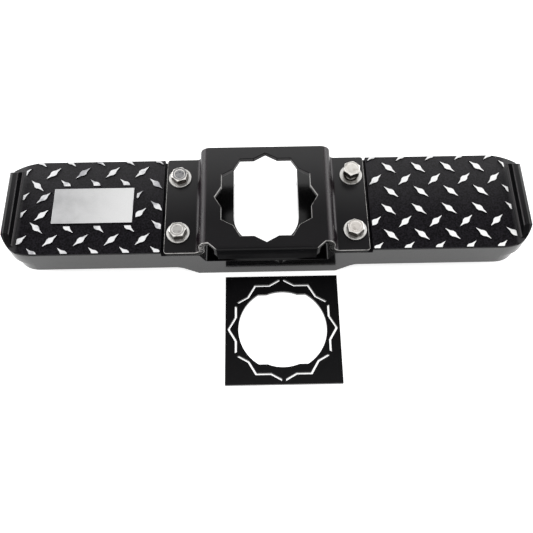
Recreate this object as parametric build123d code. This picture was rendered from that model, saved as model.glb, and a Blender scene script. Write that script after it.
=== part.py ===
from build123d import *
import math
import os

# Bolt-on towing step, in millimetres. X runs along the step, +Y points to the vehicle,
# and Z rises from the floor. Each piece is drawn about the floor point under the middle of
# the deck, and then moved so that the origin is the middle of the foot's front rim.

# Cast body: deck and skirt
deck_length = 474.0
deck_depth = 99.0
deck_height = 42.0
deck_edge = 0.8
end_reach = 29.0
front_nose = 22.0
back_nose = 4.0
wall = 4.5
rim_height = 17.0
end_inset = 4.5
wing_clearance = 13.0
foot_length = 128.0
foot_ramp = 16.0
foot_blend = 14.0

# Raised ridge along each end of the deck, with a ramp at the front and a shorter one behind
ridge_width = 8.3
ridge_height = 9.0
ridge_edge = 2.2
ridge_fillet = 3.0
ridge_front = -31.0
ridge_back = 33.0
front_ramp = 9.5
back_ramp = 6.0

# Underside of the casting
rib = 3.5
rib_foot = 18.0
cells_per_wing = 3
pad_width = 24.0
pad_depth = 10.0

# Trough for the tongue, and the slot that clears the nut under the ball
trough_floor = 25.0
trough_flare = 5.0
trough_clearance = 0.5
trough_corner = 3.0
slot_radius = 30.5
slot_rib_foot = 6.0

# Diamond tread
diamond_length = 18.2
diamond_width = 5.5
diamond_crown = 2.4
diamond_waist = 7.8
diamond_waist_width = 2.4
diamond_angle = 43.0
diamond_height = 1.3
edge_margin = 0.9
ridge_margin = 1.7
seat_margin = 1.0
smallest_diamond = 6.0
column_pitch = 27.6
first_column = 5.4
tread_middle = 0.5
row_pitch = 13.2
first_row = 9.2
rows_per_band = 4
band_slip = 4.0
ridge_column_gap = 3.8
lone_diamond_y = -1.3

# Plain raised panel on the left deck
panel_length = 73.5
panel_depth = 36.8
panel_corner = 0.8
panel_x = -158.5
panel_margin = 2.8
panel_near_gap = 3.9
panel_far_gap = 9.4

# Pressed bracket that holds the tongue down
sheet = 5.0
bracket_corner = 2.5
channel_width = 110.0
bracket_rise = 19.5
top_bend = 4.0
foot_bend = 5.0
seat_gap = 2.3
ball_y = -3.5
star_radius = 46.0
lip_reach = 9.0
lip_drop = 14.5
lip_bend = 2.0
relief_width = 8.0
relief_round = 4.0

# Bolts, washers and nuts
bolt_pitch = 58.0
bolt_middle = -0.5
bolt_diameter = 10.0
bolt_length = 30.0
bolt_clearance = 1.0
slack_bolt_lift = 5.0
head_turns = [6.0, 17.0, 38.0, 19.0]
hex_flats = 14.3
head_height = 6.4
washer_diameter = 21.0
washer_thickness = 2.0
washer_clearance = 0.6
washer_inner_gap = 4.0
washer_outer_gap = 2.0
nut_height = 8.0
flange_thickness = 2.2
thread_clearance = 0.3

# Loose insert plate, which lies on the floor in front of the step
plate_thickness = 3.0
plate_margin = 2.95
plate_x = 12.9
plate_gap = 6.0
cut_line_gap = 2.8
cut_line_width = 1.9
cut_line_bridge = 3.6
opening_web = 3.75
opening_flat_depth = 6.5
opening_bulge_depth = 3.7

# Places that several pieces share
half_length = deck_length / 2
half_depth = deck_depth / 2
seat_level = deck_height - sheet
bend_end = channel_width / 2 + sheet + foot_bend
bolt_x = bend_end + washer_inner_gap + washer_diameter / 2
bracket_half = bolt_x + washer_diameter / 2 + washer_outer_gap
seat_half = bracket_half + seat_gap
seat_under = seat_level - wall
deck_under = deck_height - wall
trough_under = trough_floor - wall
trough_half = channel_width / 2 + trough_clearance
ridge_inside = half_length - ridge_width
ridge_column = ridge_inside - ridge_column_gap
panel_near = -panel_x - panel_length / 2 - panel_near_gap
panel_far = -panel_x + panel_length / 2 + panel_far_gap
bracket_top = deck_height + bracket_rise
pad_foot = seat_level - pad_depth
beyond = 1.0
to_origin = Pos(0, half_depth - wall / 2, 0)
bolt_rows = [bolt_middle - bolt_pitch / 2, bolt_middle + bolt_pitch / 2]
bolt_places = [(side * bolt_x, y) for side in (-1, 1) for y in bolt_rows]


# Solid of a section drawn in X and Z, run right through the step from front to back
def run_through(section, depth):
    return extrude(Plane.XZ * section, amount=depth / 2, both=True)


# Twelve-pointed outline of two hexagons that cross at 30 degrees
def crossed_hexagons(radius):
    hexagon = RegularPolygon(radius, 6)
    return hexagon + Rot(0, 0, 30) * hexagon


# Casting in plan, with its sides moved in by an inset: broad arcs lead to ends that are cut square,
# with a broad rounding at the front corners and a small one behind
def plan_outline(end, inset):
    arcs = SlotCenterToCenter(2 * (half_length - end_reach), deck_depth - 2 * inset)
    outline = arcs & Rectangle(2 * end, deck_depth)
    for place, radius in ((0, front_nose - inset), (-1, back_nose)):
        across = outline.vertices().group_by(Axis.X)
        outline = fillet([across[side].sort_by(Axis.Y)[place] for side in (0, -1)], radius)
    return outline


# Slab of an outline between two heights
def slab(outline, low, high):
    return Pos(0, 0, low) * extrude(outline, amount=high - low)


# Half width of the trough's side wall at a height, moved outwards by an offset
def trough_side(height, offset):
    depth = seat_level - trough_floor
    lean = trough_flare / depth
    return trough_half + (height - trough_floor) * lean + offset * math.hypot(1, lean)


# Deck and skirt as one block: the ends step in below the rim, the middle stands on the floor
def body_block():
    ledge = deck_height - rim_height
    rim = slab(plan_outline(half_length, 0), ledge, deck_height)
    rim = chamfer(rim.faces().sort_by(Axis.Z)[-1].edges(), deck_edge)
    lower = slab(plan_outline(half_length - end_inset, 0), 0, ledge)
    foot_end = foot_length / 2
    under_wing = Polygon(
        (foot_end, 0),
        (foot_end + foot_ramp, wing_clearance),
        (half_length, wing_clearance),
        (half_length, 0),
        align=None,
    )
    knee = under_wing.vertices().sort_by_distance((foot_end + foot_ramp, wing_clearance))[0]
    under_wing = fillet(knee, foot_blend)
    relief = run_through(under_wing, deck_depth + beyond)
    return rim + lower - relief - mirror(relief, Plane.YZ)


# Seat for the bracket's feet, with the trough for the tongue between them
def seat_and_trough():
    top = deck_height + beyond
    section = Polygon(
        (-seat_half, top),
        (-seat_half, seat_level),
        (-trough_side(seat_level, 0), seat_level),
        (-trough_half, trough_floor),
        (trough_half, trough_floor),
        (trough_side(seat_level, 0), seat_level),
        (seat_half, seat_level),
        (seat_half, top),
        align=None,
    )
    corners = section.vertices().group_by(Axis.Y)[0]
    return run_through(fillet(corners, trough_corner), deck_depth + beyond)


# Slot that opens at the back and ends in a half circle under the ball
def slot_outline(radius):
    throat = half_depth + beyond - ball_y
    straight = Pos(0, ball_y + throat / 2) * Rectangle(2 * radius, throat)
    return Pos(0, ball_y) * Circle(radius) + straight


# Hollow under the deck, which leaves an even wall
def underside_hollow():
    ledge = deck_height - rim_height
    low = slab(plan_outline(half_length - end_inset - wall, wall), -beyond, deck_height)
    high = slab(plan_outline(half_length - wall, wall), ledge + wall, deck_height)
    half_section = [
        (0, -beyond),
        (half_length, -beyond),
        (half_length, deck_under),
        (seat_half + wall, deck_under),
        (seat_half + wall, seat_under),
        (trough_side(seat_under, wall), seat_under),
        (trough_side(trough_under, wall), trough_under),
        (0, trough_under),
    ]
    section = Polygon(*half_section, align=None)
    ceiling = run_through(section + mirror(section, Plane.YZ), deck_depth)
    return (low + high) & ceiling


# Ribs, bolt pads and the rib round the slot, which stay inside the hollow
def underside_ribs():
    inside = half_length - end_inset
    start = seat_half + wall
    cell = (inside - wall - start) / cells_per_wing
    height = deck_height - rib_foot
    middle = rib_foot + height / 2
    spine = Box(inside - start, rib, height)
    ribs = Pos((start + inside) / 2, 0, middle) * spine
    for number in range(cells_per_wing):
        ribs += Pos(start + number * cell, 0, middle) * Box(rib, deck_depth, height)
    ribs += mirror(ribs, Plane.YZ)
    pad = Box(pad_width, deck_depth, pad_depth)
    ribs += [Pos(side * bolt_x, 0, pad_foot + pad_depth / 2) * pad for side in (-1, 1)]
    rim = slot_outline(slot_radius + wall)
    ribs += Pos(0, 0, slot_rib_foot) * extrude(rim, amount=trough_floor - slot_rib_foot)
    return ribs


# Ridge along the right end, rounded on top and ramped down to the deck at both ends
def end_ridge():
    top = deck_height + ridge_height
    root = deck_height - 2 * deck_edge
    stretch = (top - root) / ridge_height
    section = Polygon(
        (ridge_inside - ridge_fillet - beyond, root),
        (ridge_inside - ridge_fillet - beyond, deck_height),
        (ridge_inside, deck_height),
        (ridge_inside, top),
        (half_length, top),
        (half_length, root),
        align=None,
    )
    section = fillet(section.vertices().group_by(Axis.Y)[-1], ridge_edge)
    foot = section.vertices().sort_by_distance((ridge_inside, deck_height))[0]
    section = fillet(foot, ridge_fillet)
    bar = run_through(section, deck_depth) & slab(plan_outline(half_length, 0), root, top)
    side = Polygon(
        (ridge_front - stretch * front_ramp, root),
        (ridge_front, top),
        (ridge_back, top),
        (ridge_back + stretch * back_ramp, root),
        align=None,
    )
    return bar & extrude(Plane.YZ * side, amount=half_length, both=True)


# One tread diamond: slim pointed tails and a broad crown, along X
def diamond():
    half = [
        (diamond_length / 2, 0),
        (diamond_waist / 2, diamond_waist_width / 2),
        (diamond_crown / 2, diamond_width / 2),
        (-diamond_crown / 2, diamond_width / 2),
        (-diamond_waist / 2, diamond_waist_width / 2),
    ]
    return Polygon(*half, *[(-x, -y) for x, y in half], align=None)


# Places and angles of the diamonds on the right deck, in two bands that slip past each other.
# The middle row of each band ends beside the ridge, and can make room for the panel.
def tread_places(beside_panel):
    count = math.ceil((half_length - seat_half) / column_pitch)
    places = []
    for band in (-1, 1):
        slip = band * band_slip / 2
        for row in range(rows_per_band):
            leaning_back = row % 2 == 0
            start = seat_half + first_column + slip + (column_pitch / 2 if leaning_back else 0.0)
            columns = [start + number * column_pitch for number in range(count)]
            if row == 0:
                if beside_panel:
                    columns = [panel_near + slip, panel_far]
                columns = [x for x in columns if x < ridge_column - column_pitch / 2] + [ridge_column]
            angle = -diamond_angle if leaning_back else diamond_angle
            y = tread_middle + band * (first_row + row * row_pitch)
            places += [(x, y, angle) for x in columns]
    return places


# Raised pattern of the right deck, trimmed clear of its edges and of any panel
def tread(places, panel):
    shapes = [Pos(x, y) * Rot(0, 0, angle) * diamond() for x, y, angle in places]
    start = seat_half + seat_margin
    finish = ridge_inside - ridge_fillet - ridge_margin
    field = plan_outline(half_length, edge_margin)
    field &= Pos((start + finish) / 2, 0) * Rectangle(finish - start, deck_depth)
    if panel is not None:
        field -= panel
    pieces = []
    for shape in shapes:
        pieces += [face for face in (shape & field).faces() if face.area > smallest_diamond]
    raised = diamond_height + deck_edge
    return [Pos(0, 0, deck_height - deck_edge) * extrude(face, amount=raised) for face in pieces]


# Cast body with its tread, ridges, seat, slot, ribs and bolt holes
def step_body():
    body = body_block()
    ridge = end_ridge()
    body = body + ridge + mirror(ridge, Plane.YZ)
    body -= seat_and_trough()
    body -= underside_hollow() - underside_ribs()
    slot = slot_outline(slot_radius)
    body -= Pos(0, 0, -beyond) * extrude(slot, amount=trough_floor + 2 * beyond)
    bore = Cylinder((bolt_diameter + bolt_clearance) / 2, 2 * deck_height)
    body -= [Pos(x, y, 0) * bore for x, y in bolt_places]

    panel_place = Pos(-panel_x, tread_middle)
    clear = panel_place * RectangleRounded(
        panel_length + 2 * panel_margin, panel_depth + 2 * panel_margin, panel_corner + panel_margin
    )
    panel = panel_place * RectangleRounded(panel_length, panel_depth, panel_corner)
    raised = diamond_height + deck_edge
    panel = Pos(0, 0, deck_height - deck_edge) * extrude(panel, amount=raised)
    lone = (seat_half + first_column, lone_diamond_y, diamond_angle)
    right_tread = tread(tread_places(False), None)
    left_tread = tread(tread_places(True) + [lone], clear) + [panel]
    return body + right_tread + [mirror(piece, Plane.YZ) for piece in left_tread]


# Hat section of the bracket: feet on the seat, and a raised top over the tongue
def hat_section():
    inner = channel_width / 2
    outer = inner + sheet
    half = [
        (0, bracket_top - sheet),
        (inner, bracket_top - sheet),
        (inner, seat_level),
        (bracket_half, seat_level),
        (bracket_half, deck_height),
        (outer, deck_height),
        (outer, bracket_top),
        (0, bracket_top),
    ]
    section = Polygon(*half, align=None)
    bends = [
        ((inner, bracket_top - sheet), top_bend),
        ((outer, bracket_top), top_bend + sheet),
        ((outer, deck_height), foot_bend),
        ((inner, seat_level), foot_bend + sheet),
    ]
    for corner, radius in bends:
        section = fillet(section.vertices().sort_by_distance(corner)[0], radius)
    return section + mirror(section, Plane.YZ)


# Lip folded down from the front of the bracket's top, with rounded reliefs beside it
def front_lip():
    front = -half_depth - lip_reach
    root = -half_depth + relief_width
    under = bracket_top - sheet
    fold = Polygon(
        (root, bracket_top),
        (front, bracket_top),
        (front, bracket_top - lip_drop),
        (front + sheet, bracket_top - lip_drop),
        (front + sheet, under),
        (root, under),
        align=None,
    )
    for corner, radius in (((front, bracket_top), lip_bend + sheet), ((front + sheet, under), lip_bend)):
        fold = fillet(fold.vertices().sort_by_distance(corner)[0], radius)
    shoulder = channel_width / 2 - top_bend
    end = shoulder - relief_width
    bar = extrude(Plane.YZ * fold, amount=shoulder, both=True)
    half = [
        (0, root),
        (shoulder, root),
        (shoulder, -half_depth),
        (end, front + lip_bend),
        (end, front - beyond),
        (0, front - beyond),
    ]
    plan = Polygon(*half, align=None)
    plan = fillet(plan.vertices().sort_by_distance((end, front + lip_bend))[0], relief_round)
    plan += mirror(plan, Plane.YZ)
    return bar & extrude(plan, amount=bracket_top, both=True)


# Pressed bracket with the star opening and four bolt holes
def saddle_bracket():
    bracket = run_through(hat_section(), deck_depth)
    feet_edges = bracket.edges().filter_by(Axis.Z).group_by(Axis.Z)[0]
    bracket = fillet(feet_edges, bracket_corner)
    bracket += front_lip()
    star = extrude(crossed_hexagons(star_radius), amount=3 * sheet)
    star = Pos(0, ball_y, bracket_top - 2 * sheet) * star
    bore = Pos(0, 0, deck_height) * Cylinder((bolt_diameter + bolt_clearance) / 2, 3 * sheet)
    return bracket - star - [Pos(x, y, 0) * bore for x, y in bolt_places]


# Hexagon block standing on the origin
def hexagon_block(height):
    return extrude(RegularPolygon(hex_flats / 2, 6, major_radius=False), amount=height)


# Bolt with the underside of its head at the origin
def bolt():
    shank = Cylinder(bolt_diameter / 2, bolt_length, align=(Align.CENTER, Align.CENTER, Align.MAX))
    return hexagon_block(head_height) + shank


# Flat washer standing on the origin
def washer():
    ring = Circle(washer_diameter / 2) - Circle((bolt_diameter + washer_clearance) / 2)
    return extrude(ring, amount=washer_thickness)


# Flanged locking nut hanging from the origin
def lock_nut():
    flange = extrude(Circle(washer_diameter / 2), amount=flange_thickness)
    bore = Cylinder((bolt_diameter + thread_clearance) / 2, 4 * nut_height)
    return Rot(180, 0, 0) * (hexagon_block(nut_height) + flange - bore)


# Loose plate with its opening and the cut lines that repeat the star
def insert_plate():
    cut_line_radius = star_radius + cut_line_gap
    plate_size = 2 * (cut_line_radius + plate_margin)
    notch = math.cos(math.radians(30)) / math.cos(math.radians(15))
    opening_radius = cut_line_radius * notch - opening_web
    flats = 2 * (opening_radius - opening_flat_depth)
    opening = Circle(opening_radius) & Rectangle(2 * opening_radius, flats)
    opening += Circle(opening_radius - opening_bulge_depth)
    spread = cut_line_width / 2 / math.cos(math.radians(30))
    lines = crossed_hexagons(cut_line_radius + spread) - crossed_hexagons(cut_line_radius - spread)
    bridge = Pos(cut_line_radius, 0) * Rectangle(cut_line_radius, cut_line_bridge)
    lines -= [Rot(0, 0, 30 + 60 * number) * bridge for number in range(6)]
    face = Rectangle(plate_size, plate_size) - opening - lines
    plate_y = -half_depth - plate_gap - plate_size / 2
    return Pos(plate_x, plate_y, 0) * extrude(face, amount=plate_thickness)


# One copy of a fastener at each bolt hole
def at_bolts(piece, height):
    return Compound([Pos(x, y, height) * piece for x, y in bolt_places])


# Bolts as they were tightened: each head at its own turn, and the slack one standing higher
def bracket_bolts():
    bolts = []
    for (x, y), turn in zip(bolt_places, head_turns):
        slack = x > 0 and y > 0
        seat = deck_height + washer_thickness + (slack_bolt_lift if slack else 0.0)
        bolts.append(Pos(x, y, seat) * Rot(0, 0, turn) * bolt())
    return Compound(bolts)


os.makedirs("parts", exist_ok=True)
nodes = {
    "step_body": step_body(),
    "saddle_bracket": saddle_bracket(),
    "bracket_bolts": bracket_bolts(),
    "top_washers": at_bolts(washer(), deck_height),
    "lock_nuts": at_bolts(lock_nut(), pad_foot),
    "insert_plate": insert_plate(),
}
for name, shape in nodes.items():
    solids = [to_origin * solid for solid in shape.solids()]
    export_step(Compound(solids), f"parts/{name}.step")
    print(name, len(solids), "solids", round(shape.volume), "mm3")
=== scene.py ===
import bmesh
import bpy
import math
from mathutils import Matrix, Vector


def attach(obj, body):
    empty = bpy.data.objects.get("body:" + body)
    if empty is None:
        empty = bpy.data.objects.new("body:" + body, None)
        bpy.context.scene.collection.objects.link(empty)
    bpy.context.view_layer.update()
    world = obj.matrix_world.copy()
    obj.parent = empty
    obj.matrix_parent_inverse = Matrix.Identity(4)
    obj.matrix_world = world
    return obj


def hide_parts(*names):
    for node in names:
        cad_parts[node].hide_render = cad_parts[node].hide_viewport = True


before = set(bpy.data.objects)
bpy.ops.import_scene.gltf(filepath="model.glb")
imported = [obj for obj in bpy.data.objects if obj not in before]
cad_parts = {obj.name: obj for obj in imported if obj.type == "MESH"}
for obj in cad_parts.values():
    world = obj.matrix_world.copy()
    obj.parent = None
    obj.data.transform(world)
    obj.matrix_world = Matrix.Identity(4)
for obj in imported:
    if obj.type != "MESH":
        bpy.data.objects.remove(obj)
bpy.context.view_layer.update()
mm = 0.001
scene = bpy.context.scene
scene.view_settings.view_transform = "Standard"
print("frame loaded:", sorted(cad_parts))

# where the four bolts stand, in millimetres
boltGrid = {"x": 79.5, "y": (17.75, 75.75)}


# small helpers for node trees

def addNode(tree, kind, **settings):
    node = tree.nodes.new(kind)
    for key, value in settings.items():
        setattr(node, key, value)
    return node


def setInputs(node, **values):
    for key, value in values.items():
        node.inputs[key.replace("_", " ")].default_value = value
    return node


def mathNode(tree, operation, first, second=None, clamp=False):
    node = addNode(tree, "ShaderNodeMath", operation=operation, use_clamp=clamp)
    for number, value in enumerate((first, second)):
        if value is None:
            continue
        if isinstance(value, (int, float)):
            node.inputs[number].default_value = value
        else:
            tree.links.new(value, node.inputs[number])
    return node.outputs[0]


def rangeNode(tree, value, low, high, toLow=0.0, toHigh=1.0):
    node = addNode(tree, "ShaderNodeMapRange", interpolation_type="SMOOTHSTEP")
    setInputs(node, From_Min=low, From_Max=high, To_Min=toLow, To_Max=toHigh)
    tree.links.new(value, node.inputs["Value"])
    return node.outputs["Result"]


# a Mix node takes its colours at the inputs numbered 6 and 7, and gives one at output 2
def mixColour(tree, factor, dark, pale):
    node = addNode(tree, "ShaderNodeMix", data_type="RGBA")
    tree.links.new(factor, node.inputs[0])
    for number, colour in ((6, dark), (7, pale)):
        if isinstance(colour, tuple):
            node.inputs[number].default_value = (*colour, 1.0)
        else:
            tree.links.new(colour, node.inputs[number])
    return node.outputs[2]


def axesOf(tree):
    split = addNode(tree, "ShaderNodeSeparateXYZ")
    tree.links.new(addNode(tree, "ShaderNodeTexCoord").outputs["Object"], split.inputs["Vector"])
    return split.outputs


def effectGroup(name, inputs, outputs):
    group = bpy.data.node_groups.new(name, "ShaderNodeTree")
    for label, value in inputs.items():
        socket = group.interface.new_socket(name=label, in_out="INPUT", socket_type="NodeSocketFloat")
        socket.default_value = value
    for label in outputs:
        group.interface.new_socket(name=label, in_out="OUTPUT", socket_type="NodeSocketFloat")
    return group, group.nodes.new("NodeGroupInput"), group.nodes.new("NodeGroupOutput")


# grain of a coat: fine height for the bump, and slow patches for tone and gloss
grainNoise = {
    "scales": {"Grain": 1200.0, "Patch": 30.0},
    "Grain": {"Detail": 3.0, "Roughness": 0.6}, "Patch": {"Detail": 4.0, "Roughness": 0.55},
}


def coatGrainGroup(look):
    group, given, result = effectGroup("coatGrain", look["scales"], ("Height", "Patches"))
    place = group.nodes.new("ShaderNodeTexCoord").outputs["Object"]
    for scale, output in (("Grain", "Height"), ("Patch", "Patches")):
        noise = setInputs(addNode(group, "ShaderNodeTexNoise"), **look[scale])
        group.links.new(place, noise.inputs["Vector"])
        group.links.new(given.outputs[scale], noise.inputs["Scale"])
        group.links.new(noise.outputs["Fac"], result.inputs[output])
    return group


# handling marks: sparse thin scratches and small specks
scuffNoise = {
    "sizes": {"Scale": 90.0, "Amount": 0.5}, "stretch": (1.0, 9.0, 1.0), "turn": 35.0,
    "noise": {"Detail": 5.0, "Roughness": 0.7}, "peaks": (0.62, 0.74),
}


def scuffGroup(look):
    group, given, result = effectGroup("scuffs", look["sizes"], ("Marks",))
    place = group.nodes.new("ShaderNodeTexCoord").outputs["Object"]
    stretch = addNode(group, "ShaderNodeMapping")
    stretch.inputs["Scale"].default_value = look["stretch"]
    stretch.inputs["Rotation"].default_value = (0.0, 0.0, math.radians(look["turn"]))
    group.links.new(place, stretch.inputs["Vector"])
    streak = setInputs(addNode(group, "ShaderNodeTexNoise"), **look["noise"])
    group.links.new(stretch.outputs["Vector"], streak.inputs["Vector"])
    group.links.new(given.outputs["Scale"], streak.inputs["Scale"])
    peaks = rangeNode(group, streak.outputs["Fac"], *look["peaks"])
    group.links.new(mathNode(group, "MULTIPLY", peaks, given.outputs["Amount"]), result.inputs["Marks"])
    return group


coatGrain = coatGrainGroup(grainNoise)
scuffs = scuffGroup(scuffNoise)


def placeGroup(tree, group, **values):
    node = addNode(tree, "ShaderNodeGroup", node_tree=group)
    return setInputs(node, **values)


def newFinish(name):
    material = bpy.data.materials.new(name)
    material.use_nodes = True
    tree = material.node_tree
    return material, tree, tree.nodes["Principled BSDF"]


def bumpInto(tree, shader, height, strength, depth):
    bump = addNode(tree, "ShaderNodeBump")
    setInputs(bump, Strength=strength, Distance=depth)
    tree.links.new(height, bump.inputs["Height"])
    tree.links.new(bump.outputs["Normal"], shader.inputs["Normal"])


# noise values between which a finish goes from its first gloss to its second
glossSpread = (0.3, 0.7)


# coats on the casting: glossy on the skirt, grained satin on the tread field, smooth on the ridges' crests,
# a near-unreflecting coat of painted shade on the low walls by the tread, the seat and the ridges, and
# smooth black in the trough
skirtCoat = {
    "dark": (0.008, 0.008, 0.0085), "pale": (0.013, 0.0128, 0.0135),
    "gloss": (0.07, 0.13), "specular": 0.5,
    "grain": 500.0, "patch": 24.0, "bump": (0.05, 0.1 * mm), "scuffs": (70.0, 0.35),
}
fieldCoat = {
    "dark": (0.0022, 0.0019, 0.0026), "pale": (0.0138, 0.0122, 0.0158), "spread": (0.36, 0.64),
    "gloss": (0.4, 0.55), "specular": (0.05, 0.37), "border": (222.0 * mm, 226.2 * mm, 0.35),
    "grain": 560.0, "patch": 650.0, "bump": (0.9, 0.35 * mm), "scuffs": (70.0, 0.35),
}
crestCoat = {
    "dark": (0.0065, 0.0062, 0.007), "pale": (0.0105, 0.01, 0.011),
    "gloss": (0.2, 0.3), "specular": (0.08, 0.25), "border": (233.4 * mm, 234.2 * mm, 0.75),
    "grain": 500.0, "patch": 24.0, "bump": (0.05, 0.1 * mm), "scuffs": (70.0, 0.35),
}
paintedShadeCoat = {
    "dark": (0.0043, 0.0043, 0.0049), "pale": (0.0058, 0.0057, 0.0064),
    "gloss": (0.5, 0.6), "specular": 0.03,
    "grain": 1150.0, "patch": 40.0, "bump": (0.2, 0.1 * mm), "scuffs": (70.0, 0.3),
}
troughCoat = {
    "dark": (0.0014, 0.0013, 0.0015), "pale": (0.0022, 0.002, 0.0024),
    "gloss": (0.15, 0.21), "specular": (0.2, 0.55),
    "grain": 700.0, "patch": 22.0, "bump": (0.06, 0.1 * mm), "scuffs": (55.0, 0.3),
}

# coats on the sheet steel: satin on the bracket, a lighter, warmer coat on its bends as painted highlight,
# and flat on the loose plate;
# the inner slopes of the casting's ridges have the same painted highlight coat as the bends
bracketCoat = {
    "dark": (0.005, 0.0046, 0.0053), "pale": (0.009, 0.0083, 0.0095),
    "gloss": (0.28, 0.4), "specular": (0.1, 0.5),
    "grain": 700.0, "patch": 22.0, "bump": (0.1, 0.1 * mm), "scuffs": (55.0, 0.5),
}
bendHighlightCoat = {
    "dark": (0.0104, 0.0067, 0.0092), "pale": (0.0157, 0.0108, 0.0141),
    "gloss": (0.24, 0.34), "specular": 0.31,
    "grain": 700.0, "patch": 22.0, "bump": (0.08, 0.1 * mm), "scuffs": (55.0, 0.5),
}
plateCoat = {
    "dark": (0.004, 0.004, 0.0045), "pale": (0.0075, 0.0072, 0.008),
    "gloss": (0.45, 0.6), "specular": (0.1, 0.03), "fade": (-150.0 * mm, -50.0 * mm),
    "grain": 1400.0, "patch": 35.0, "bump": (0.18, 0.08 * mm), "scuffs": (80.0, 0.4),
}

# depth over which a coat's painted sheen changes, and how much a scuff roughens it
fadeDepth = (20.0 * mm, 110.0 * mm)
scuffRoughness = 0.15


# painted sheen: shine that changes towards the back, and grows along a border by the end ridges
def paintedSheenFade(tree, look):
    axes = axesOf(tree)
    shine = rangeNode(tree, axes["Y"], *look.get("fade", fadeDepth), *look["specular"])
    if "border" in look:
        start, end, extra = look["border"]
        aside = mathNode(tree, "ABSOLUTE", axes["X"])
        shine = mathNode(tree, "ADD", shine, rangeNode(tree, aside, start, end, 0.0, extra))
    return shine


def coatFinish(name, look):
    material, tree, shader = newFinish(name)
    scuffScale, scuffAmount = look["scuffs"]
    grain = placeGroup(tree, coatGrain, Grain=look["grain"], Patch=look["patch"])
    marks = placeGroup(tree, scuffs, Scale=scuffScale, Amount=scuffAmount)
    shade = rangeNode(tree, grain.outputs["Patches"], *look.get("spread", (0.0, 1.0)))
    tree.links.new(mixColour(tree, shade, look["dark"], look["pale"]), shader.inputs["Base Color"])
    gloss = rangeNode(tree, grain.outputs["Patches"], *glossSpread, *look["gloss"])
    wear = mathNode(tree, "MULTIPLY", marks.outputs["Marks"], scuffRoughness)
    tree.links.new(mathNode(tree, "ADD", gloss, wear), shader.inputs["Roughness"])
    specular = shader.inputs["Specular IOR Level"]
    if isinstance(look["specular"], tuple):
        specular.default_value = sum(look["specular"]) / 2
        tree.links.new(paintedSheenFade(tree, look), specular)
    else:
        specular.default_value = look["specular"]
    bumpInto(tree, shader, grain.outputs["Height"], *look["bump"])
    return material


# bare tops of the tread and the plain panel: faced aluminium, with painted light that brightens it towards
# the right
bareTread = {
    "dark": (0.4, 0.4, 0.42), "pale": (0.76, 0.76, 0.77), "paintedLightTone": (0.84, 0.84, 0.84),
    "spread": (0.36, 0.5), "side": (-100.0 * mm, 110.0 * mm), "gloss": (0.4, 0.58), "metal": 0.85,
    "grain": 900.0, "patch": 55.0, "bump": (0.2, 0.05 * mm),
}
barePanel = {
    "dark": (0.4, 0.4, 0.405), "pale": (0.5, 0.5, 0.505), "paintedLightTone": (0.68, 0.68, 0.68),
    "spread": (0.3, 0.65), "side": (-195.0 * mm, -120.0 * mm), "gloss": (0.4, 0.58), "metal": 0.85,
    "grain": 900.0, "patch": 45.0, "bump": (0.2, 0.05 * mm),
}


def bareFinish(name, look):
    material, tree, shader = newFinish(name)
    grain = placeGroup(tree, coatGrain, Grain=look["grain"], Patch=look["patch"])
    shade = rangeNode(tree, grain.outputs["Patches"], *look["spread"])
    tone = mixColour(tree, shade, look["dark"], look["pale"])
    # painted light: towards the right the tone is mixed into a lighter one
    side = rangeNode(tree, axesOf(tree)["X"], *look["side"])
    tree.links.new(mixColour(tree, side, tone, look["paintedLightTone"]), shader.inputs["Base Color"])
    gloss = rangeNode(tree, grain.outputs["Height"], *glossSpread, *look["gloss"])
    tree.links.new(gloss, shader.inputs["Roughness"])
    shader.inputs["Metallic"].default_value = look["metal"]
    bumpInto(tree, shader, grain.outputs["Height"], *look["bump"])
    return material


# plated and cut steel, a little mottled: the four bolt tops, the flats of the heads darkened with painted
# shade, the rims of the heads, the nuts, the bracket's cut edges and the plate's cut walls
steelGrain = {"grain": 2600.0, "spread": (0.28, 0.55), "bump": (0.12, 0.04 * mm)}
zincTones = [
    {"dark": (0.24, 0.23, 0.22), "pale": (0.38, 0.37, 0.355), "gloss": (0.28, 0.44), "patch": 240.0},
    {"dark": (0.09, 0.09, 0.095), "pale": (0.25, 0.25, 0.255), "gloss": (0.26, 0.42), "patch": 240.0},
    {"dark": (0.38, 0.35, 0.325), "pale": (0.54, 0.51, 0.48), "gloss": (0.3, 0.45), "patch": 240.0},
    {"dark": (0.48, 0.455, 0.415), "pale": (0.64, 0.62, 0.585), "gloss": (0.3, 0.45), "patch": 240.0},
]
zincFlatShade = {"dark": (0.008, 0.006, 0.005), "pale": (0.06, 0.05, 0.042), "gloss": (0.3, 0.45), "patch": 300.0}
zincRim = {"dark": (0.45, 0.43, 0.4), "pale": (0.75, 0.73, 0.7), "gloss": (0.2, 0.3), "patch": 260.0}
zincNut = {"dark": (0.45, 0.42, 0.37), "pale": (0.8, 0.78, 0.73), "gloss": (0.28, 0.46), "patch": 220.0}
cutEdge = {"dark": (0.16, 0.155, 0.15), "pale": (0.42, 0.41, 0.4), "gloss": (0.25, 0.4), "patch": 120.0}
cutWall = {"dark": (0.06, 0.06, 0.06), "pale": (0.13, 0.13, 0.128), "gloss": (0.3, 0.45), "patch": 300.0}


# steel with everything but its colour linked, for the finishes below
def steelGround(name, look):
    material, tree, shader = newFinish(name)
    grain = placeGroup(tree, coatGrain, Grain=steelGrain["grain"], Patch=look["patch"])
    patches = grain.outputs["Patches"]
    tone = mixColour(tree, rangeNode(tree, patches, *steelGrain["spread"]), look["dark"], look["pale"])
    tree.links.new(rangeNode(tree, patches, *glossSpread, *look["gloss"]), shader.inputs["Roughness"])
    shader.inputs["Metallic"].default_value = 1.0
    bumpInto(tree, shader, grain.outputs["Height"], *steelGrain["bump"])
    return material, tree, shader, patches, tone


def steelFinish(name, look):
    material, tree, shader, patches, tone = steelGround(name, look)
    tree.links.new(tone, shader.inputs["Base Color"])
    return material
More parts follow.
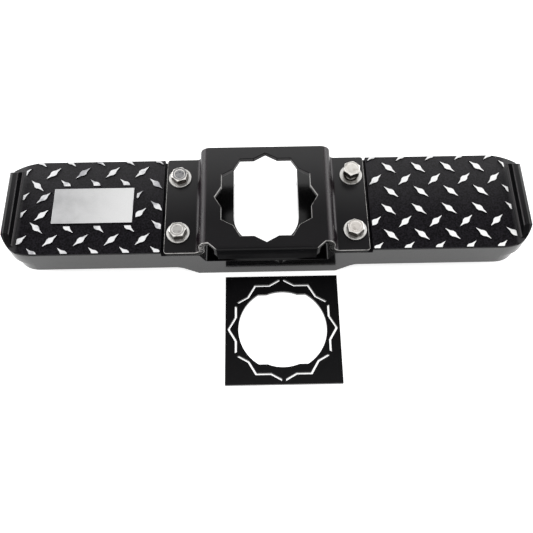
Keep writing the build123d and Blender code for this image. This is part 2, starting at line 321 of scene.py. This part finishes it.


# zinc washer with a ragged ring of painted shade by the bolt's head
zincWasher = {
    "dark": (0.42, 0.41, 0.39), "pale": (0.66, 0.65, 0.63), "headShade": (0.035, 0.03, 0.025),
    "gloss": (0.26, 0.44), "patch": 150.0, "ring": (7.1 * mm, 8.7 * mm), "ragged": 1.5 * mm,
}


# distance from the nearest of the four bolts, which stand evenly about the middle of the step
def boltDistance(tree):
    axes = axesOf(tree)
    front, back = boltGrid["y"]
    depth = mathNode(tree, "SUBTRACT", axes["Y"], (front + back) / 2 * mm)
    squares = []
    for value, reach in ((axes["X"], boltGrid["x"]), (depth, (back - front) / 2)):
        offset = mathNode(tree, "SUBTRACT", mathNode(tree, "ABSOLUTE", value), reach * mm)
        squares.append(mathNode(tree, "MULTIPLY", offset, offset))
    return mathNode(tree, "SQRT", mathNode(tree, "ADD", *squares))


def washerFinish(name, look):
    material, tree, shader, patches, tone = steelGround(name, look)
    ragged = mathNode(tree, "MULTIPLY", patches, look["ragged"])
    # painted shade: darker within a ragged ring round each bolt's head
    unshaded = rangeNode(tree, mathNode(tree, "ADD", boltDistance(tree), ragged), *look["ring"])
    tree.links.new(mixColour(tree, unshaded, look["headShade"], tone), shader.inputs["Base Color"])
    return material


# front cut of the bracket's sheet: a bare upper skin, worn patches on the walls whose spread from left to
# right is painted light, and coated feet
cutFront = {
    "bare": (0.42, 0.41, 0.4), "coated": (0.003, 0.003, 0.003), "gloss": (0.25, 0.4), "specular": 0.05,
    "grain": 1400.0, "patch": 700.0, "spread": (0.36, 0.64), "side": (-30.0 * mm, 30.0 * mm, 0.6, 0.12),
    "foot": (42.3 * mm, 45.0 * mm), "skin": (59.7 * mm, 60.3 * mm), "wall": (53.0 * mm, 54.5 * mm),
}


def cutFrontFinish(name, look):
    material, tree, shader = newFinish(name)
    patches = placeGroup(tree, coatGrain, Grain=look["grain"], Patch=look["patch"]).outputs["Patches"]
    axes = axesOf(tree)
    wall = rangeNode(tree, mathNode(tree, "ABSOLUTE", axes["X"]), *look["wall"])
    wearAndPaintedLight = rangeNode(tree, patches, *look["spread"])
    # painted light: the bare patches are strong on the left and fade towards the right
    for axis, limits in (("X", look["side"]), ("Z", look["foot"])):
        wearAndPaintedLight = mathNode(tree, "MULTIPLY", wearAndPaintedLight, rangeNode(tree, axes[axis], *limits))
    top = mathNode(tree, "SUBTRACT", 1.0, wall)
    skin = mathNode(tree, "MULTIPLY", rangeNode(tree, axes["Z"], *look["skin"]), top)
    bare = mathNode(tree, "ADD", skin, mathNode(tree, "MULTIPLY", wearAndPaintedLight, wall), clamp=True)
    tree.links.new(mixColour(tree, bare, look["coated"], look["bare"]), shader.inputs["Base Color"])
    tree.links.new(rangeNode(tree, patches, *glossSpread, *look["gloss"]), shader.inputs["Roughness"])
    tree.links.new(bare, shader.inputs["Metallic"])
    shader.inputs["Specular IOR Level"].default_value = look["specular"]
    return material


finishes = {
    "skirt": coatFinish("skirtCoat", skirtCoat),
    "field": coatFinish("fieldCoat", fieldCoat),
    "crest": coatFinish("crestCoat", crestCoat),
    "paintedShade": coatFinish("paintedShadeCoat", paintedShadeCoat),
    "trough": coatFinish("troughCoat", troughCoat),
    "bareTread": bareFinish("bareTread", bareTread),
    "barePanel": bareFinish("barePanel", barePanel),
    "pressing": coatFinish("bracketCoat", bracketCoat),
    "bendHighlight": coatFinish("bendHighlightCoat", bendHighlightCoat),
    "cutEdge": steelFinish("cutEdge", cutEdge),
    "cutFront": cutFrontFinish("cutFront", cutFront),
    "insert": coatFinish("plateCoat", plateCoat),
    "cutWall": steelFinish("cutWall", cutWall),
    "boltFlatShade": steelFinish("zincFlatShade", zincFlatShade),
    "boltRim": steelFinish("zincRim", zincRim),
    "washer": washerFinish("zincWasher", zincWasher),
    "nut": steelFinish("zincNut", zincNut),
}
boltTops = [steelFinish(f"zincBolt{number}", look) for number, look in enumerate(zincTones)]
print("finishes ready:", len(finishes) + len(boltTops))


# shapes

def sharpEdges(shape, degrees):
    limit = math.radians(degrees)
    return [edge for edge in shape.edges if edge.is_manifold and edge.calc_face_angle() > limit]


def softenEdges(shape, look):
    outer = [edge for edge in sharpEdges(shape, look["fold"]) if edge.is_convex]
    made = bmesh.ops.bevel(
        shape, geom=outer, offset=look["edge"], offset_type="OFFSET", segments=look["segments"],
        profile=0.5, affect="EDGES", clamp_overlap=False, loop_slide=True, material=-1,
    )
    return made["faces"]


# folds wider than this carry a hard edge on, and large faces lead the shading of their neighbours
shading = {"deadEndFold": 30.0, "faceWeight": 60}


# a hard edge that stops at a point is carried on along the widest fold there, so a wall keeps its shading
def splitDeadEnds(shape):
    ends = [vert for vert in shape.verts if sum(not edge.smooth for edge in vert.link_edges) == 1]
    for vert in ends:
        folds = [edge for edge in vert.link_edges if edge.smooth and edge.is_manifold]
        widest = max(folds, key=lambda edge: edge.calc_face_angle(), default=None)
        if widest and widest.calc_face_angle() > math.radians(shading["deadEndFold"]):
            widest.smooth = False


def finishPiece(shape, name, node, materials, hardAngle):
    for face in shape.faces:
        face.smooth = True
    for edge in shape.edges:
        edge.smooth = True
    for edge in sharpEdges(shape, hardAngle):
        edge.smooth = False
    splitDeadEnds(shape)
    mesh = bpy.data.meshes.new(name)
    shape.to_mesh(mesh)
    shape.free()
    for material in materials:
        mesh.materials.append(material)
    piece = bpy.data.objects.new(name, mesh)
    scene.collection.objects.link(piece)
    weights = piece.modifiers.new("evenShading", "WEIGHTED_NORMAL")
    weights.keep_sharp = True
    weights.weight = shading["faceWeight"]
    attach(piece, "root")
    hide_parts(node)
    print("piece", name, len(mesh.polygons), "faces")


# merged copy of a solid's mesh, with its flat triangles joined again
meshRepair = {"merge": 0.002 * mm, "flat": 0.6, "sliver": 0.03 * mm}


def mergedCopy(node):
    shape = bmesh.new()
    shape.from_mesh(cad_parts[node].data)
    bmesh.ops.remove_doubles(shape, verts=shape.verts, dist=meshRepair["merge"])
    bmesh.ops.dissolve_limit(
        shape, angle_limit=math.radians(meshRepair["flat"]), use_dissolve_boundaries=False,
        verts=shape.verts, edges=shape.edges,
    )
    bmesh.ops.dissolve_degenerate(shape, edges=shape.edges, dist=meshRepair["sliver"])
    return shape


def within(value, limits):
    return limits[0] < value < limits[1]


# cast body: heights and widths that tell its faces apart, with level, steep and round as parts of a normal
castBody = {
    "finishes": ("skirt", "bareTread", "field", "paintedShade", "crest", "barePanel", "bendHighlight", "trough"),
    "edge": 0.35 * mm, "segments": 2, "fold": 50.0, "hard": 50.0, "level": 0.9, "steep": 0.6, "round": 0.3,
    "bare": (43.1 * mm, 43.6 * mm), "panelArea": 1000.0 * mm * mm, "field": (30.0 * mm, 42.2 * mm),
    "trough": (20.0 * mm, 30.0 * mm), "crest": 50.8 * mm, "tread": (41.4 * mm, 43.4 * mm),
    "seat": (93.0 * mm, 95.5 * mm), "ridge": (43.0 * mm, 50.0 * mm), "ridgeWall": (224.0 * mm, 233.0 * mm),
}


def levelCastFinish(face, height, look):
    if within(height, look["bare"]):
        return "barePanel" if face.calc_area() > look["panelArea"] else "bareTread"
    if height > look["crest"]:
        return "crest"
    if within(height, look["trough"]):
        return "trough"
    return "field" if within(height, look["field"]) else "skirt"


def castFinish(face, look):
    place, normal = face.calc_center_median(), face.normal
    across, height = abs(place.x), place.z
    ridgeFoot = look["ridgeWall"][0]
    if normal.z > look["level"]:
        return levelCastFinish(face, height, look)
    if abs(normal.z) > look["steep"]:
        onRidge = height > look["tread"][0] and across > ridgeFoot
        if onRidge and normal.y < -look["steep"]:
            return "crest"
        facesIn = normal.x * place.x < 0 and abs(normal.x) > look["round"]
        # the inner slopes of the ridges take the bend coat, a painted highlight
        return "bendHighlight" if onRidge and facesIn else "skirt"
    onTread = within(height, look["tread"]) and across < ridgeFoot
    bySeat = within(across, look["seat"]) and abs(normal.x) > look["level"]
    byRidge = within(height, look["ridge"]) and within(across, look["ridgeWall"])
    # the low walls by the tread, the seat's walls and the ridges' walls take the painted shade coat
    return "paintedShade" if onTread or bySeat or (byRidge and normal.y < look["steep"]) else "skirt"


def makeCastBody(look):
    shape = mergedCopy("step_body")
    softenEdges(shape, look)
    for face in shape.faces:
        face.material_index = look["finishes"].index(castFinish(face, look))
    materials = [finishes[name] for name in look["finishes"]]
    finishPiece(shape, "castBody", "step_body", materials, look["hard"])


# pressed bracket: places that tell its lip, bends, front cut and the back of its star apart
pressedBracket = {
    "finishes": ("pressing", "bendHighlight", "cutEdge", "paintedShade", "cutFront", "skirt"),
    "edge": 0.4 * mm, "segments": 2, "fold": 28.0, "hard": 40.0, "bendHighlight": (0.12, 0.97), "facesFront": -0.15,
    "lipHighlightBand": (0.7, 0.84), "lipSide": 0.8, "lipEnd": 48.0 * mm, "lipStart": -2.4 * mm, "lipLow": 60.0 * mm,
    "cutSide": 42.9 * mm, "cutLow": 42.5 * mm, "starBack": 69.0 * mm, "starSide": 35.0 * mm,
}


def onLip(place, look):
    return abs(place.x) < look["lipEnd"] and place.y < look["lipStart"]


def bracketFinish(face, look):
    low, high = look["bendHighlight"]
    place, normal = face.calc_center_median(), face.normal
    # the lip's sides take the painted shade coat
    if onLip(place, look) and abs(normal.x) > look["lipSide"]:
        return "paintedShade"
    if normal.y >= look["facesFront"]:
        # the bends take the lighter bend coat, a painted highlight
        return "bendHighlight" if low < normal.z < high else "pressing"
    if abs(normal.z) < low:
        if place.y > look["starBack"]:
            return "bendHighlight"
        if abs(place.x) > look["cutSide"] and place.z > look["cutLow"]:
            return "cutFront"
    # painted highlight and shade on the lip: a strip of its bend takes the glossy skirt coat, its steeper
    # face the painted shade coat
    if normal.z > look["lipHighlightBand"][1]:
        return "pressing"
    return "skirt" if normal.z > look["lipHighlightBand"][0] else "paintedShade"


def bracketEdgeFinish(face, look):
    place = face.calc_center_median()
    onLipEdge = onLip(place, look) and place.z < look["lipLow"]
    inStar = abs(place.x) < look["starSide"] and place.y > look["starBack"]
    # the lip's edges and the front-facing edges in the star take the painted shade coat, the rest bare cut
    # steel
    return "paintedShade" if onLipEdge or (inStar and face.normal.y < 0) else "cutEdge"


def makePressedBracket(look):
    shape = mergedCopy("saddle_bracket")
    for face in shape.faces:
        face.material_index = look["finishes"].index(bracketFinish(face, look))
    for face in softenEdges(shape, look):
        face.material_index = look["finishes"].index(bracketEdgeFinish(face, look))
    materials = [finishes[name] for name in look["finishes"]]
    finishPiece(shape, "pressedBracket", "saddle_bracket", materials, look["hard"])


# loose plate: coated on its faces and softened edges, and bare on its cut walls
loosePlate = {
    "finishes": ("insert", "cutWall"),
    "edge": 0.15 * mm, "segments": 2, "fold": 28.0, "hard": 40.0, "level": 0.5,
}


def makeLoosePlate(look):
    shape = mergedCopy("insert_plate")
    coated, bare = range(len(look["finishes"]))
    for face in shape.faces:
        face.material_index = coated if abs(face.normal.z) > look["level"] else bare
    for face in softenEdges(shape, look):
        face.material_index = coated
    materials = [finishes[name] for name in look["finishes"]]
    finishPiece(shape, "loosePlate", "insert_plate", materials, look["hard"])


# tolerances for turned and sawn shapes
turning = {"merge": 0.001 * mm, "cut": 0.0005 * mm, "threadMerge": 0.01 * mm}


# wire of a profile given in radius and height, in millimetres
def profileWire(shape, profile):
    verts = [shape.verts.new((radius * mm, 0.0, height * mm)) for radius, height in profile]
    edges = [shape.edges.new(pair) for pair in zip(verts, verts[1:])]
    return verts + edges


# turned ring or disc from a half profile
def turned(profile, steps):
    shape = bmesh.new()
    bmesh.ops.spin(
        shape, geom=profileWire(shape, profile), cent=(0, 0, 0), axis=(0, 0, 1), dvec=(0, 0, 0),
        angle=2 * math.pi, steps=steps, use_merge=True, use_duplicate=False,
    )
    bmesh.ops.remove_doubles(shape, verts=shape.verts, dist=turning["merge"])
    bmesh.ops.recalc_face_normals(shape, faces=shape.faces)
    return shape


# cuts a shape off past a plane, and returns the edges of the cut
def sawOff(shape, place, outward):
    cut = bmesh.ops.bisect_plane(
        shape, geom=shape.verts[:] + shape.edges[:] + shape.faces[:], dist=turning["cut"],
        plane_co=place, plane_no=outward, clear_outer=True,
    )
    return [item for item in cut["geom_cut"] if isinstance(item, bmesh.types.BMEdge)]


# saws the six flats of a hexagon off a turned blank
def cutFlats(shape, acrossFlats):
    sides = 6
    for number in range(sides):
        angle = math.radians(360 / sides * number)
        outward = Vector((math.cos(angle), math.sin(angle), 0.0))
        rim = sawOff(shape, outward * acrossFlats / 2 * mm, outward)
        bmesh.ops.holes_fill(shape, edges=rim, sides=0)
    bmesh.ops.recalc_face_normals(shape, faces=shape.faces)


# how far a chamfer falls from the rim of a flat disc to the wall of its blank
def chamferFall(look):
    return (look["blank"] - look["disc"]) * math.tan(math.radians(look["chamfer"]))


# screw thread: one tooth wound up the shank, then squared off at both ends
def threadedShank(look):
    shape = bmesh.new()
    root, crest = look["threadRoot"], look["threadCrest"]
    pitch, steps = look["threadPitch"], look["threadSteps"]
    foot, rise, fall = (share * pitch for share in look["threadTooth"])
    low = look["tip"] - look["threadSpare"] * pitch
    tooth = [(root, 0.0), (root, foot), (crest, rise), (crest, fall), (root, pitch)]
    wire = profileWire(shape, [(radius, low + height) for radius, height in tooth])
    turns = math.ceil((look["shankTop"] - low) / pitch) + 1
    bmesh.ops.spin(
        shape, geom=wire, cent=(0, 0, 0), axis=(0, 0, 1), dvec=(0, 0, pitch * mm / steps),
        angle=2 * math.pi * turns, steps=steps * turns, use_merge=False, use_duplicate=False,
    )
    bmesh.ops.remove_doubles(shape, verts=shape.verts, dist=turning["threadMerge"])
    for height, side in ((look["tip"], -1.0), (look["shankTop"], 1.0)):
        rim = sawOff(shape, (0, 0, height * mm), (0, 0, side))
        bmesh.ops.edgeloop_fill(shape, edges=rim)
    bmesh.ops.recalc_face_normals(shape, faces=shape.faces)
    return shape


def addShape(target, source, matrix):
    mesh = bpy.data.meshes.new("blank")
    source.to_mesh(mesh)
    mesh.transform(matrix)
    target.from_mesh(mesh)
    bpy.data.meshes.remove(mesh)


def boltPlaces():
    return [(side * boltGrid["x"], y) for side in (-1, 1) for y in boltGrid["y"]]


# bolts, in millimetres: heads with a chamfered rim and a shallow dish, and one that stands proud
boltSet = {
    "seat": 44.0, "slackBolt": 3, "slack": 5.0, "turns": (36.0, 47.0, 68.0, 49.0),
    "acrossFlats": 14.3, "blank": 8.32, "height": 6.4, "disc": 6.5, "chamfer": 30.0,
    "dish": 0.25, "dishFloor": 4.5, "dishRim": 5.0, "tip": -30.0, "shankTop": 0.6,
    "threadRoot": 4.2, "threadCrest": 4.98, "threadPitch": 1.5, "threadTooth": (0.12, 0.44, 0.56),
    "threadSpare": 2, "threadSteps": 24, "steps": 72,
    "edge": 0.22 * mm, "segments": 2, "fold": 40.0, "hard": 35.0, "flat": 0.3, "top": 0.96,
}


def boltHead(look):
    top, blank = look["height"], look["blank"]
    head = turned([
        (0.0, top - look["dish"]), (look["dishFloor"], top - look["dish"]), (look["dishRim"], top),
        (look["disc"], top), (blank, top - chamferFall(look)), (blank, 0.0), (0.0, 0.0),
    ], look["steps"])
    cutFlats(head, look["acrossFlats"])
    softenEdges(head, look)
    return head


def makeBolts(look):
    head, shank = boltHead(look), threadedShank(look)
    flat, rim = len(boltTops), len(boltTops) + 1
    bolts = bmesh.new()
    for number, (x, y) in enumerate(boltPlaces()):
        for face in head.faces:
            face.material_index = number if face.normal.z > look["top"] else rim
            # the head's flats take the painted shade finish
            if abs(face.normal.z) < look["flat"]:
                face.material_index = flat
        for face in shank.faces:
            face.material_index = number
        lift = look["slack"] if number == look["slackBolt"] else 0.0
        place = Matrix.Translation((x * mm, y * mm, (look["seat"] + lift) * mm))
        place = place @ Matrix.Rotation(math.radians(look["turns"][number]), 4, "Z")
        addShape(bolts, head, place)
        addShape(bolts, shank, place)
    head.free()
    shank.free()
    materials = boltTops + [finishes["boltFlatShade"], finishes["boltRim"]]
    finishPiece(bolts, "clampBolts", "bracket_bolts", materials, look["hard"])


# washers, in millimetres
washerSet = {
    "inner": 5.3, "outer": 10.5, "thickness": 2.0, "seat": 42.0, "steps": 64,
    "edge": 0.4 * mm, "segments": 3, "fold": 40.0, "hard": 40.0,
}


def makeWashers(look):
    inner, outer, thickness = look["inner"], look["outer"], look["thickness"]
    ring = turned([
        (inner, 0.0), (outer, 0.0), (outer, thickness), (inner, thickness), (inner, 0.0),
    ], look["steps"])
    softenEdges(ring, look)
    washers = bmesh.new()
    for x, y in boltPlaces():
        addShape(washers, ring, Matrix.Translation((x * mm, y * mm, look["seat"] * mm)))
    ring.free()
    finishPiece(washers, "boltWashers", "top_washers", [finishes["washer"]], look["hard"])


# flanged nuts under the casting, in millimetres
nutSet = {
    "inner": 5.15, "outer": 10.5, "rim": 1.1, "flange": 2.2, "acrossFlats": 14.3, "blank": 8.32,
    "height": 8.0, "disc": 6.6, "chamfer": 30.0, "seat": 27.0, "turn": 11.0, "steps": 72,
    "edge": 0.22 * mm, "segments": 2, "fold": 50.0, "hard": 40.0,
}


def nutFlange(look):
    inner, outer, rim, depth = look["inner"], look["outer"], look["rim"], look["flange"]
    flange = turned([
        (inner, 0.0), (outer, 0.0), (outer, -rim), (look["disc"], -depth), (inner, -depth), (inner, 0.0),
    ], look["steps"])
    softenEdges(flange, look)
    return flange


def nutBody(look):
    inner, blank, rim, height = look["inner"], look["blank"], look["rim"], look["height"]
    body = turned([
        (inner, -rim), (blank, -rim), (blank, chamferFall(look) - height), (look["disc"], -height),
        (inner, -height), (inner, -rim),
    ], look["steps"])
    cutFlats(body, look["acrossFlats"])
    softenEdges(body, look)
    return body


def makeNuts(look):
    flange, body = nutFlange(look), nutBody(look)
    nuts = bmesh.new()
    for number, (x, y) in enumerate(boltPlaces()):
        place = Matrix.Translation((x * mm, y * mm, look["seat"] * mm))
        addShape(nuts, flange, place)
        addShape(nuts, body, place @ Matrix.Rotation(math.radians(look["turn"] * number), 4, "Z"))
    flange.free()
    body.free()
    finishPiece(nuts, "flangeNuts", "lock_nuts", [finishes["nut"]], look["hard"])


makeCastBody(castBody)
makePressedBracket(pressedBracket)
makeLoosePlate(loosePlate)
makeBolts(boltSet)
makeWashers(washerSet)
makeNuts(nutSet)


# white studio sweep, in millimetres: a wide floor that curls up at its rim
sweep = {
    "radius": 3000.0, "curl": 600.0, "curlSteps": 6, "wall": 1200.0, "drop": 0.3, "steps": 64,
    "colour": (0.9, 0.9, 0.9), "cameraGlow": 0.8, "glossyGlow": 0.69,
}


# paper that glows for the camera and, less, for reflections, so that the floor stays white
def sweepPaper(look):
    material = bpy.data.materials.new("sweepPaper")
    material.use_nodes = True
    tree = material.node_tree
    tree.nodes.clear()
    paper = addNode(tree, "ShaderNodeBsdfDiffuse")
    paper.inputs["Color"].default_value = (*look["colour"], 1.0)
    glow = addNode(tree, "ShaderNodeEmission")
    rays = addNode(tree, "ShaderNodeLightPath").outputs
    seen = mathNode(tree, "MAXIMUM", rays["Is Camera Ray"], rays["Is Transmission Ray"])
    direct = mathNode(tree, "MULTIPLY", seen, look["cameraGlow"])
    mirrored = mathNode(tree, "MULTIPLY", rays["Is Glossy Ray"], look["glossyGlow"])
    tree.links.new(mathNode(tree, "ADD", direct, mirrored), glow.inputs["Strength"])
    both = addNode(tree, "ShaderNodeAddShader")
    tree.links.new(paper.outputs[0], both.inputs[0])
    tree.links.new(glow.outputs[0], both.inputs[1])
    tree.links.new(both.outputs[0], addNode(tree, "ShaderNodeOutputMaterial").inputs["Surface"])
    return material


def makeSweep(look):
    floorRadius = look["radius"] - look["curl"]
    profile = [(0.0, 0.0), (floorRadius, 0.0)]
    for number in range(1, look["curlSteps"] + 1):
        angle = math.radians(90 / look["curlSteps"] * number)
        profile.append((floorRadius + look["curl"] * math.sin(angle), look["curl"] * (1 - math.cos(angle))))
    profile.append((look["radius"], look["wall"]))
    shape = turned([(radius, height - look["drop"]) for radius, height in profile], look["steps"])
    if sum(face.normal.z for face in shape.faces) < 0:
        bmesh.ops.reverse_faces(shape, faces=shape.faces)
    for face in shape.faces:
        face.smooth = True
    mesh = bpy.data.meshes.new("studioSweep")
    shape.to_mesh(mesh)
    shape.free()
    mesh.materials.append(sweepPaper(look))
    piece = bpy.data.objects.new("studioSweep", mesh)
    scene.collection.objects.link(piece)


makeSweep(sweep)

# lamps, in metres and watts: one broad lamp overhead and a smaller one at each side
lamps = {
    "overhead": {"at": (0.0, 0.45, 1.5), "aim": (0.0, 0.45, 0.0), "size": (2.6, 2.2), "power": 18.0},
    "left": {"at": (-1.2, 0.65, 0.5), "aim": (0.0, 0.03, 0.04), "size": (1.0, 0.8), "power": 7.0},
    "right": {"at": (1.2, 0.65, 0.5), "aim": (0.0, 0.03, 0.04), "size": (1.0, 0.8), "power": 7.0},
}


def makeLamp(name, look):
    light = bpy.data.lights.new(name, "AREA")
    light.shape = "RECTANGLE"
    light.size, light.size_y = look["size"]
    light.energy = look["power"]
    lamp = bpy.data.objects.new(name, light)
    lamp.location = look["at"]
    lamp.rotation_euler = (Vector(look["aim"]) - Vector(look["at"])).to_track_quat("-Z", "Y").to_euler()
    lamp.visible_camera = False
    scene.collection.objects.link(lamp)


for side, look in lamps.items():
    makeLamp(side + "Lamp", look)

studioAir = {"colour": (1.0, 1.0, 1.0), "strength": 0.35}


def makeWorld(look):
    world = bpy.data.worlds.new("studioAir")
    world.use_nodes = True
    background = world.node_tree.nodes["Background"]
    setInputs(background, Color=(*look["colour"], 1.0), Strength=look["strength"])
    scene.world = world


makeWorld(studioAir)

# the photograph's camera: a steep look down from the front
viewPoint = {
    "at": (-0.00237, -0.28145, 0.59626), "elevation": 64.467, "yaw": 0.357, "roll": 0.708,
    "focalPixels": 699.27, "framePixels": 533.0, "sensor": 36.0, "nearest": 0.01,
}


def makeCamera(look):
    elevation, yaw, roll = (math.radians(look[key]) for key in ("elevation", "yaw", "roll"))
    ahead = Vector((
        math.sin(yaw) * math.cos(elevation), math.cos(yaw) * math.cos(elevation), -math.sin(elevation)
    ))
    right = Vector((math.cos(yaw), -math.sin(yaw), 0.0))
    down = ahead.cross(right)
    across = math.cos(roll) * right + math.sin(roll) * down
    up = math.sin(roll) * right - math.cos(roll) * down
    data = bpy.data.cameras.new("photoCamera")
    data.sensor_fit = "HORIZONTAL"
    data.sensor_width = look["sensor"]
    data.lens = look["focalPixels"] / look["framePixels"] * look["sensor"]
    data.clip_start = look["nearest"]
    camera = bpy.data.objects.new("photoCamera", data)
    camera.matrix_world = Matrix.LocRotScale(
        Vector(look["at"]), Matrix((across, up, -ahead)).transposed().to_quaternion(), None
    )
    scene.collection.objects.link(camera)
    scene.camera = camera


makeCamera(viewPoint)
print("stage, lamps and camera ready")
